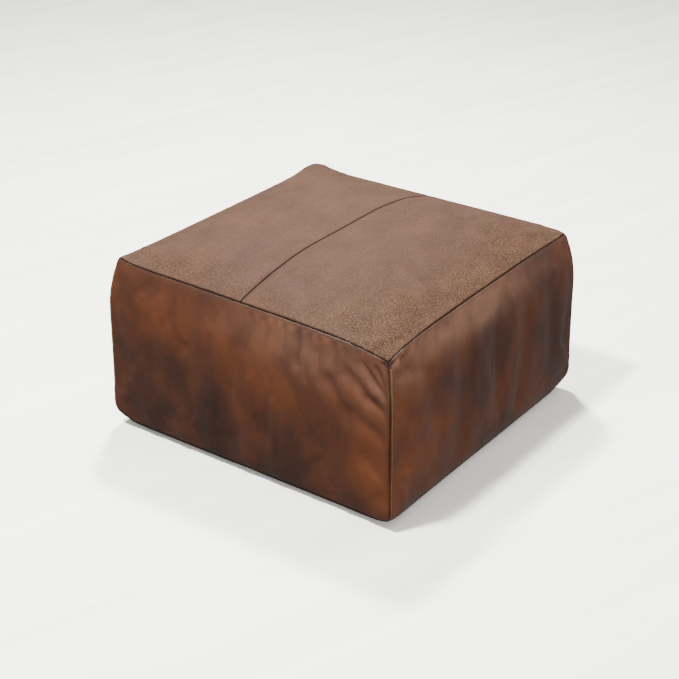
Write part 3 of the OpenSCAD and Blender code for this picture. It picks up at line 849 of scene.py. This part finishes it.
def rounded_layer(x, y, z, inset, radius):
    """Point of a rounded box inside the cover's box: each face drawn in by the inset, each edge
    rounded to the radius."""
    half = np.array([SEAM_HALF - inset, SEAM_HALF - inset, (TOP_SEAM_Z - inset * 2) / 2])
    p = np.stack([x * half[0], y * half[1], z * half[2]], -1)
    core = np.clip(p, -(half - radius), half - radius)
    d = p - core
    d = d / np.maximum(np.linalg.norm(d, axis=-1, keepdims=True), 1e-9)
    q = core + d * radius
    return q[..., 0] / SEAM_HALF, q[..., 1] / SEAM_HALF, (q[..., 2] + TOP_SEAM_Z / 2) / TOP_SEAM_Z


def inner_form(x, y, t):
    """The swollen form for an inner layer: lifted off the zip's channel and sunk under the top's
    valley."""
    return swollen(x, y, t, rise=0.020, groove=0.012)


def layer_points(face, a, b, inset, radius, ripple=0.0):
    """One face of an inner layer, as the swollen form of a rounded and drawn-in box, with soft
    uneven ripples."""
    A, B = np.meshgrid(a, b, indexing="ij")
    x, y, t = FACES[face][0](A, B)
    x, y, t = rounded_layer(x, y, t * 2 - 1, inset, radius)
    P = inner_form(x, y, t)
    if ripple:
        X, Y, Z = P[..., 0], P[..., 1], P[..., 2]
        w = (np.sin(X * 41 + 3 * np.sin(Y * 17)) * np.sin(Y * 37 + 2 * np.sin(Z * 29))
             * np.sin(Z * 33 + X * 13 + 1))
        P = P - normals_of(P) * ripple * (w[..., None] + 1) / 2
    return P


def tray(name, face, inset, radius, skirt, thickness, step, ripple=0.0):
    """The top or base of a layer: one face with a skirt that turns down the sides, given its
    thickness inwards."""
    n = int(2 * SEAM_HALF / step)
    a = np.linspace(-1, 1, n)
    P = layer_points(face, a, a, inset, radius, ripple)
    rows, k_n = [], max(3, int(skirt / step))
    i, j = rim_loop(n, n)
    A, B = a[i], a[j]
    x, y, t = FACES[face][0](A, B)
    sgn = 1 if face == "top" else -1
    tall = TOP_SEAM_Z - 2 * inset
    for k in range(1, k_n + 1):
        z = (t * 2 - 1) - sgn * 2 * skirt * k / k_n / tall
        xx, yy, tt = rounded_layer(x, y, z, inset, radius)
        rows.append(inner_form(xx, yy, tt))
    verts = np.concatenate([P.reshape(-1, 3)] + rows)
    faces = [grid_faces(n, n)] + skirt_faces(i * n + j, k_n, n * n)
    return thicken(make_mesh(name, verts, np.concatenate(faces)), thickness)


def band(name, inset, radius, skirt, thickness, step, ripple=0.0):
    """The boxing strip of a layer: the four sides in one closed ring between the two skirts."""
    n = int(2 * SEAM_HALF / step)
    tall = TOP_SEAM_Z - 2 * inset
    limit = 1 - 2 * (skirt + 0.0006) / tall
    b = np.linspace(-limit, limit, max(8, int(tall * limit / step)))
    cols = []
    for face in SIDES:
        a = np.linspace(-1, 1, n)[:-1]
        A, B = np.meshgrid(a, b, indexing="ij")
        x, y, t = FACES[face][0](A, B)
        x, y, t = rounded_layer(x, y, t * 2 - 1, inset, radius)
        cols.append(inner_form(x, y, t))
    P = np.concatenate(cols)
    if ripple:
        X, Y, Z = P[..., 0], P[..., 1], P[..., 2]
        w = np.sin(X * 41 + Y * 23) * np.sin(Z * 51 + 2 * np.sin(X * 19 + Y * 13))
        centre = P * np.array([1, 1, 0])
        way = centre / np.linalg.norm(centre, axis=-1, keepdims=True)
        P = P - way * ripple * (w[..., None] + 1) / 2
    n2, m = P.shape[:2]
    f = grid_faces(n2 + 1, m)
    f = np.where(f >= n2 * m, f - n2 * m, f)
    return thicken(make_mesh(name, P, f), thickness)


def core(name, inset, radius, step):
    """The core of stuffing: all six faces of a rounded block, welded, with lumpy ripples."""
    parts, faces, start = [], [], 0
    n = int(2 * SEAM_HALF / step)
    for face in FACES:
        m = n if face in ("top", "base") else n // 2
        a, b = np.linspace(-1, 1, n), np.linspace(-1, 1, m)
        P = layer_points(face, a, b, inset, radius)
        parts.append(P.reshape(-1, 3))
        faces.append(grid_faces(n, m) + start)
        start += n * m
    V, F = np.concatenate(parts), np.concatenate(faces)
    x, y, z = V.T
    lump = np.sin(x * 63 + 4 * np.sin(y * 31)) * np.sin(y * 57 + 3 * np.sin(z * 43)) * np.sin(z * 71 + 2)
    middle = np.array([0, 0, TOP_SEAM_Z / 2])
    way = V - middle
    V = V - way / np.linalg.norm(way, axis=-1, keepdims=True) * 0.003 * (lump[:, None] + 1) / 2
    obj = make_mesh(name, V, F)
    weld = obj.modifiers.new("weld", "WELD")
    weld.merge_threshold = 0.0015
    return obj


# Each layer's inset from the cover and the radius of its edges, then the skirt shared by all
BAG_IN, BAG_R = 0.0095, 0.046
WAD_IN, WAD_R = 0.0125, 0.043
CORE_IN, CORE_R = 0.034, 0.03
SKIRT = 0.03
CALICO, WADDING = 0.0012, 0.0185
bag = {
    "inner_bag_top": tray("bag_top", "top", BAG_IN, BAG_R, SKIRT, CALICO, 0.005, 0.0012),
    "inner_bag_boxing": band("bag_boxing", BAG_IN, BAG_R, SKIRT, CALICO, 0.005),
    "inner_bag_bottom": tray("bag_bottom", "base", BAG_IN, BAG_R, SKIRT, CALICO, 0.005),
}
soft = {
    "wadding_top": tray("wadding_top_pad", "top", WAD_IN, WAD_R, SKIRT, WADDING, 0.007, 0.002),
    "wadding_band": band("wadding_band_pad", WAD_IN, WAD_R, SKIRT, WADDING, 0.007, 0.002),
    "wadding_bottom": tray("wadding_bottom_pad", "base", WAD_IN, WAD_R, SKIRT, WADDING, 0.007),
    "fill_core": core("stuffing_core", CORE_IN, CORE_R, 0.006),
}

# ---- Finishes ----

class Finish:
    """A procedural finish: a shader whose colour, roughness and bump come from noise on Object
    coordinates."""

    def __init__(self, name):
        self.mat = bpy.data.materials.new(name)
        self.mat.use_nodes = True
        self.nodes, self.links = self.mat.node_tree.nodes, self.mat.node_tree.links
        self.shader = self.nodes["Principled BSDF"]
        self.place = self.add("ShaderNodeTexCoord").outputs["Object"]

    def add(self, kind, **settings):
        node = self.nodes.new(kind)
        for key, value in settings.items():
            setattr(node, key, value)
        return node

    def join(self, source, socket):
        if isinstance(source, bpy.types.NodeSocket):
            self.links.new(source, socket)
        else:
            socket.default_value = source

    def stretched(self, scale, turn=(0, 0, 0)):
        node = self.add("ShaderNodeMapping")
        node.inputs["Scale"].default_value = scale
        node.inputs["Rotation"].default_value = turn
        self.links.new(self.place, node.inputs["Vector"])
        return node.outputs[0]

    def noise(self, scale, detail=4.0, rough=0.55, twist=0.0, at=None):
        node = self.add("ShaderNodeTexNoise")
        self.links.new(at or self.place, node.inputs["Vector"])
        for key, value in zip(("Scale", "Detail", "Roughness", "Distortion"), (scale, detail, rough, twist)):
            node.inputs[key].default_value = value
        return node.outputs["Fac"]

    def cells(self, scale):
        node = self.add("ShaderNodeTexVoronoi", feature="F1")
        self.links.new(self.place, node.inputs["Vector"])
        node.inputs["Scale"].default_value = scale
        return node.outputs["Distance"]

    def ramp(self, value, *stops):
        node = self.add("ShaderNodeValToRGB")
        node.color_ramp.interpolation = "EASE"
        while len(node.color_ramp.elements) < len(stops):
            node.color_ramp.elements.new(0.5)
        for element, (at, colour) in zip(node.color_ramp.elements, stops):
            element.position = at
            element.color = (*colour, 1) if hasattr(colour, "__len__") else (colour, colour, colour, 1)
        self.links.new(value, node.inputs[0])
        return node.outputs[0]

    def math(self, kind, a, b=0.0):
        node = self.add("ShaderNodeMath", operation=kind)
        self.join(a, node.inputs[0])
        self.join(b, node.inputs[1])
        return node.outputs[0]

    def span(self, value, low, high, to_low, to_high):
        node = self.add("ShaderNodeMapRange")
        self.links.new(value, node.inputs[0])
        for k, v in enumerate((low, high, to_low, to_high)):
            node.inputs[k + 1].default_value = v
        return node.outputs[0]

    def blend(self, share, a, b, kind="MIX"):
        node = self.add("ShaderNodeMix", data_type="RGBA", blend_type=kind)
        self.join(share, node.inputs[0])
        self.join((*a, 1) if isinstance(a, tuple) else a, node.inputs[6])
        self.join((*b, 1) if isinstance(b, tuple) else b, node.inputs[7])
        return node.outputs[2]

    def number(self, name):
        return self.add("ShaderNodeAttribute", attribute_name=name).outputs["Fac"]

    def bump(self, height, distance, strength, under=None):
        node = self.add("ShaderNodeBump")
        node.inputs["Strength"].default_value = strength
        node.inputs["Distance"].default_value = distance
        self.links.new(height, node.inputs["Height"])
        if under is not None:
            self.links.new(under, node.inputs["Normal"])
        self.links.new(node.outputs[0], self.shader.inputs["Normal"])
        return node.outputs[0]

    def set(self, **values):
        for key, value in values.items():
            self.join(value, self.shader.inputs[key.replace("_", " ")])


def seam_recess_shade(f, colour):
    """Painted shade: near black where the hide has rolled down into its seam."""
    return f.blend(f.span(f.number("seam_depth"), 0.1, 0.6, 0.0, 0.93), colour, (0.012, 0.005, 0.003))


def buffed_top():
    """Matte hide: pink-brown where it is buffed, golden, darker and speckled towards the rim, with a fine
    nap. The darker rim is partly the hide's tone and partly painted shade where the top rolls over, most along the
    front and right edges."""
    f = Finish("buffed_hide")
    cloudy = f.noise(9, 3, 0.5, 0.3)
    streaky = f.noise(30, 4, 0.6, 0.2, f.stretched((1.0, 0.45, 1.0), (0, 0, 0.5)))
    grain = f.noise(520, 3, 0.7)
    fine = f.noise(1500, 2, 0.7)
    specks = f.cells(620)
    buffed = f.blend(f.span(cloudy, 0.35, 0.65, 0, 1), (0.087, 0.042, 0.027), (0.110, 0.055, 0.036))
    rim = f.blend(f.span(streaky, 0.35, 0.65, 0, 1), (0.071, 0.031, 0.015), (0.101, 0.048, 0.024))
    # Weight of the darker golden rim colour: partly the hide's tone, partly painted shade.
    shade_weight = f.math("MULTIPLY", f.number("tan"), f.span(cloudy, 0.3, 0.7, 0.6, 1.1))
    colour = f.blend(f.span(shade_weight, 0, 1, 0, 1), buffed, rim)
    colour = f.blend(0.35, colour, f.ramp(streaky, (0.3, 0.35), (0.7, 0.62)), "OVERLAY")
    speck = f.math("MULTIPLY", f.span(grain, 0.42, 0.62, -0.5, 0.5), f.span(shade_weight, 0, 1, 0.35, 1.0))
    colour = f.blend(f.span(speck, 0, 0.5, 0, 0.75), colour, (0.225, 0.135, 0.088))
    colour = f.blend(f.span(speck, 0, -0.5, 0, 0.75), colour, (0.030, 0.014, 0.008))
    # Painted shade: the hide darkened near its seams, then near black where it rolls into them.
    dark = f.span(f.number("seam_shade"), 0.45, 1.0, 0.0, 0.4)
    colour = seam_recess_shade(f, f.blend(dark, colour, (0.045, 0.02, 0.012)))
    nap = f.math("ADD", f.math("MULTIPLY", grain, 0.7), f.math("MULTIPLY", fine, 0.3))
    first = f.bump(f.noise(60, 5, 0.6), 0.0012, 0.25)
    f.bump(f.math("ADD", nap, f.math("MULTIPLY", specks, 0.4)), 0.00035, 0.5, first)
    f.set(Base_Color=colour, Roughness=f.span(cloudy, 0.3, 0.7, 0.62, 0.78), Sheen_Weight=0.03,
          Sheen_Roughness=0.45, Specular_IOR_Level=0.12)
    f.shader.inputs["Sheen Tint"].default_value = (0.95, 0.82, 0.76, 1)
    return f.mat


def dyed_side():
    """Waxed hide dyed by hand: burnt orange to near black in soft upright clouds, with a polished
    grain."""
    f = Finish("hand_dyed_hide")
    upright = f.stretched((1.0, 1.0, 0.6))
    clouds = f.noise(8, 2, 0.45, 0.5, upright)
    blotch = f.noise(21, 3, 0.5, 0.3, upright)
    grain = f.noise(420, 3, 0.6)
    pores = f.cells(760)
    # Dye clouds and blotches from noise, plus the patches, which are partly painted highlight and painted shade.
    dye_and_shading = f.math("ADD", f.math("MULTIPLY", f.number("dye_and_shading"), 0.22),
                 f.math("ADD", f.math("MULTIPLY", clouds, 0.66), f.math("MULTIPLY", blotch, 0.34)))
    colour = f.ramp(dye_and_shading, (0.20, (0.032, 0.0155, 0.0110)), (0.37, (0.062, 0.0240, 0.0145)),
                    (0.50, (0.104, 0.0340, 0.0160)), (0.63, (0.152, 0.0470, 0.0175)),
                    (0.80, (0.215, 0.0700, 0.0220)))
    colour = f.blend(f.span(grain, 0.4, 0.65, 0, 0.18), colour, (0.17, 0.075, 0.045))
    # Painted highlight: a pale tan along the strip under the top seam, broken up by the blotches.
    strip_highlight = f.math("MULTIPLY", f.number("strip_highlight"), f.span(blotch, 0.3, 0.7, 0.35, 0.95))
    colour = f.blend(f.span(strip_highlight, 0, 1, 0, 0.8), colour, (0.300, 0.152, 0.096))
    # Painted shade: the hide darkened near its seams, then near black where it rolls into them.
    dark = f.span(f.number("seam_shade"), 0.45, 1.1, 0.0, 0.75)
    colour = seam_recess_shade(f, f.blend(dark, colour, (0.035, 0.014, 0.008)))
    rough = f.math("ADD", f.span(blotch, 0.3, 0.7, 0.36, 0.50), f.span(grain, 0.3, 0.7, -0.03, 0.05))
    rough = f.math("MAXIMUM", rough, f.span(f.number("seam_shade"), 0.55, 1.0, 0.3, 0.85))
    first = f.bump(f.noise(48, 5, 0.55, 0.3), 0.0016, 0.3)
    f.bump(f.math("ADD", f.math("MULTIPLY", pores, 0.6), f.math("MULTIPLY", grain, 0.5)), 0.0003, 0.35, first)
    f.set(Base_Color=colour, Roughness=rough, Coat_Weight=0.05, Coat_Roughness=0.32, Specular_IOR_Level=0.26,
          Sheen_Weight=0.03, Sheen_Roughness=0.5)
    return f.mat


def flesh_side():
    """The hide's rough inner side."""
    f = Finish("flesh_side")
    fibre = f.noise(260, 5, 0.7)
    colour = f.blend(f.span(fibre, 0.35, 0.65, 0, 1), (0.28, 0.17, 0.10), (0.42, 0.28, 0.18))
    f.bump(fibre, 0.0006, 0.6)
    f.set(Base_Color=colour, Roughness=f.span(fibre, 0.3, 0.7, 0.85, 0.98), Specular_IOR_Level=0.2)
    return f.mat


def twisted_thread(name, low, high):
    """Waxed thread with a fine twist."""
    f = Finish(name)
    strands = f.noise(2200, 3, 0.6, 0.4)
    colour = f.blend(f.span(strands, 0.35, 0.65, 0, 1), low, high)
    colour = f.blend(f.span(f.noise(60, 2), 0.35, 0.65, 0, 0.35), colour, low)
    f.bump(strands, 0.0002, 0.5)
    f.set(Base_Color=colour, Roughness=f.span(strands, 0.3, 0.7, 0.45, 0.65), Sheen_Weight=0.1)
    return f.mat


def woven(name, low, high, pitch, depth, fluff=0.0):
    """Plain weave: crossing ribs at that pitch, with slubs and a little wear."""
    f = Finish(name)
    bars = []
    for turn in ("X", "Y", "Z"):
        w = f.add("ShaderNodeTexWave", wave_type="BANDS", bands_direction=turn)
        f.links.new(f.place, w.inputs["Vector"])
        w.inputs["Scale"].default_value = 1 / (pitch * 6.283) * 3.1416
        w.inputs["Distortion"].default_value = 0.4
        bars.append(w.outputs["Fac"])
    weave = f.math("MAXIMUM", bars[0], f.math("MAXIMUM", bars[1], bars[2]))
    slub = f.noise(70, 4, 0.6)
    mixed = f.math("ADD", f.math("MULTIPLY", weave, 0.6), f.math("MULTIPLY", slub, 0.5))
    colour = f.blend(f.span(mixed, 0.2, 0.9, 0, 1), low, high)
    f.bump(mixed, depth, 0.5)
    f.set(Base_Color=colour, Roughness=f.span(slub, 0.3, 0.7, 0.82, 0.95), Sheen_Weight=fluff, Specular_IOR_Level=0.25)
    return f.mat


def fibrous(name, low, high, scale):
    """Loose fibre: soft tangled noise with a deep bump."""
    f = Finish(name)
    tangle = f.noise(scale, 6, 0.7, 1.2)
    fine = f.noise(scale * 5, 4, 0.7, 0.8)
    colour = f.blend(f.span(tangle, 0.35, 0.65, 0, 1), low, high)
    f.bump(f.math("ADD", tangle, f.math("MULTIPLY", fine, 0.5)), 0.002, 0.6)
    f.set(Base_Color=colour, Roughness=f.span(fine, 0.3, 0.7, 0.88, 1.0), Sheen_Weight=0.2, Specular_IOR_Level=0.2)
    return f.mat


def zip_brass():
    """Cast brass, dulled in patches and brushed by use."""
    f = Finish("zip_brass_finish")
    stain = f.noise(180, 4, 0.6)
    brushed = f.noise(900, 3, 0.6, 0.0, f.stretched((1, 0.15, 1)))
    colour = f.blend(f.span(stain, 0.35, 0.7, 0, 1), (0.62, 0.44, 0.19), (0.36, 0.24, 0.10))
    f.bump(brushed, 0.00006, 0.4)
    f.set(Base_Color=colour, Roughness=f.span(stain, 0.3, 0.7, 0.26, 0.46), Metallic=1.0)
    return f.mat


top_hide, side_hide, flesh = buffed_top(), dyed_side(), flesh_side()
tan = twisted_thread("tan_thread_finish", (0.33, 0.14, 0.045), (0.56, 0.29, 0.11))
dull_tan = twisted_thread("dull_tan_thread_finish", (0.10, 0.042, 0.018), (0.20, 0.09, 0.038))
brown = twisted_thread("brown_thread_finish", (0.07, 0.03, 0.015), (0.16, 0.07, 0.035))
calico_cloth = woven("calico_cloth", (0.55, 0.47, 0.36), (0.80, 0.73, 0.60), 0.0008, 0.0003)
tape_cloth = woven("tape_cloth", (0.025, 0.015, 0.010), (0.075, 0.045, 0.03), 0.0006, 0.0002)
wadding_fibre = fibrous("wadding_fibre", (0.70, 0.69, 0.66), (0.90, 0.90, 0.88), 90)
stuffing_fibre = fibrous("stuffing_fibre", (0.45, 0.37, 0.24), (0.74, 0.66, 0.48), 60)
brass = zip_brass()


def finish_piece(obj, *materials):
    obj.data.materials.clear()
    for m in materials:
        obj.data.materials.append(m)


for key, obj in panels.items():
    if key.endswith("_grid"):
        continue
    finish_piece(obj, top_hide if key.startswith("top") else side_hide, flesh)
    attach(obj, "cover")

for obj in tan_threads + threads:
    hue = brown if obj not in tan_threads else dull_tan if obj.name.endswith("_top") else tan
    finish_piece(obj, hue)
    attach(obj, "cover")

for obj in tapes:
    finish_piece(obj, tape_cloth)

for node, obj in bag.items():
    finish_piece(obj, calico_cloth)
    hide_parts(node)
    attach(obj, "cover")

for node, obj in soft.items():
    fibre = stuffing_fibre if node == "fill_core" else wadding_fibre
    finish_piece(obj, fibre)
    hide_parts(node)
    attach(obj, "cover")

for node in ("zip_teeth_left", "zip_teeth_right", "zip_top_stops", "zip_bottom_stop",
             "zip_slider", "zip_pull_tab"):
    finish_piece(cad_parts[node], brass)

# ---- Floor, light and camera ----

def floor():
    """A plain pale floor with the faintest mottling, which glows as painted light, brighter towards +x."""
    s = 60.0
    verts = np.array([(-s, -s, -0.0005), (s, -s, -0.0005), (s, s, -0.0005), (-s, s, -0.0005)])
    obj = make_mesh("floor", verts, np.array([[0, 1, 2, 3]]), smooth=False)
    f = Finish("floor_paint")
    spot = f.add("ShaderNodeSeparateXYZ")
    f.links.new(f.place, spot.inputs[0])
    x, y = spot.outputs["X"], spot.outputs["Y"]
    board = f.add("ShaderNodeCombineXYZ")
    along = f.math("ADD", f.math("MULTIPLY", x, 0.31), f.math("MULTIPLY", y, 0.95))
    across = f.math("SUBTRACT", f.math("MULTIPLY", x, 0.95), f.math("MULTIPLY", y, 0.31))
    f.links.new(f.math("MULTIPLY", along, 0.07), board.inputs[0])
    f.links.new(across, board.inputs[1])
    grain = f.noise(16, 5, 0.6, 0.4, board.outputs[0])
    f.set(Base_Color=f.blend(f.span(grain, 0.35, 0.65, 0, 1), (0.84, 0.835, 0.76), (0.95, 0.945, 0.88)),
          Roughness=f.span(grain, 0.3, 0.7, 0.62, 0.72), Specular_IOR_Level=0.2,
          Emission_Color=(1.0, 1.0, 0.985, 1), Emission_Strength=f.span(x, -1.4, 1.4, 0.0, 2 * FLOOR_GLOW))
    obj.data.materials.append(f.mat)
    obj.visible_diffuse = obj.visible_glossy = False
    return obj


def lamp(name, place, aim, size, power, colour=(1, 1, 1)):
    light = bpy.data.lights.new(name, "AREA")
    light.shape = "RECTANGLE"
    light.size, light.size_y = size
    light.energy = power
    light.color = colour
    obj = bpy.data.objects.new(name, light)
    bpy.context.scene.collection.objects.link(obj)
    obj.location = place
    obj.rotation_euler = (Vector(aim) - Vector(place)).to_track_quat("-Z", "Y").to_euler()
    return obj


FLOOR_GLOW = 0.15
ground = floor()
world = bpy.data.worlds.new("studio")
bpy.context.scene.world = world
world.use_nodes = True


def room_light(low, high):
    """Even light from all round, dimmer from below the horizon than from above."""
    nodes, links = world.node_tree.nodes, world.node_tree.links
    up = nodes.new("ShaderNodeSeparateXYZ")
    links.new(nodes.new("ShaderNodeTexCoord").outputs["Generated"], up.inputs[0])
    span = nodes.new("ShaderNodeMapRange")
    links.new(up.outputs["Z"], span.inputs[0])
    for k, v in enumerate((-0.25, 0.35, low, high)):
        span.inputs[k + 1].default_value = v
    background = nodes["Background"]
    background.inputs[0].default_value = (0.985, 0.99, 1.0, 1)
    links.new(span.outputs[0], background.inputs[1])


room_light(0.28, 0.62)
MIDDLE = (0, 0, 0.1)
BACK_WINDOW, FRONT_WINDOW = (-1.05, 1.14, 2.8), (-0.42, -1.2, 2.95)
DAYLIGHT, FLOOR_DAYLIGHT = (1.0, 0.985, 0.96), (1.0, 0.99, 0.97)
lamp("window_back", BACK_WINDOW, MIDDLE, (0.42, 0.42), 140, DAYLIGHT)
lamp("window_front", FRONT_WINDOW, MIDDLE, (0.42, 0.42), 74, DAYLIGHT)
floor_only = bpy.data.collections.new("floor_only")
floor_only.objects.link(ground)
for twin in (lamp("window_back_floor", BACK_WINDOW, MIDDLE, (0.25, 0.25), 155, FLOOR_DAYLIGHT),
             lamp("window_front_floor", FRONT_WINDOW, MIDDLE, (0.25, 0.25), 235, FLOOR_DAYLIGHT)):
    twin.light_linking.receiver_collection = floor_only
lamp("overhead", (1.3, -0.6, 2.8), (0, 0, 0), (2.0, 2.0), 28, (1.0, 0.985, 0.97))
lamp("front_fill", (-0.6, -3.4, 1.7), (0, 0, 0.15), (2.4, 1.8), 11, (1.0, 0.98, 0.95))
lamp("right_fill", (3.0, -1.7, 1.6), (0, 0, 0.15), (1.6, 1.6), 40, (1.0, 0.98, 0.95))

AIM = Vector((-0.0061, -0.0137, 0.1413))
ROUND, UP, AWAY = math.radians(35.96), math.radians(26.94), 2.858
camera_data = bpy.data.cameras.new("camera")
camera_data.lens, camera_data.sensor_width = 82.6, 36
camera = bpy.data.objects.new("camera", camera_data)
bpy.context.scene.collection.objects.link(camera)
level = Vector((math.sin(ROUND), -math.cos(ROUND), 0)) * math.cos(UP)
camera.location = AIM + AWAY * (level + Vector((0, 0, math.sin(UP))))
camera.rotation_euler = (AIM - camera.location).to_track_quat("-Z", "Y").to_euler()
bpy.context.scene.camera = camera
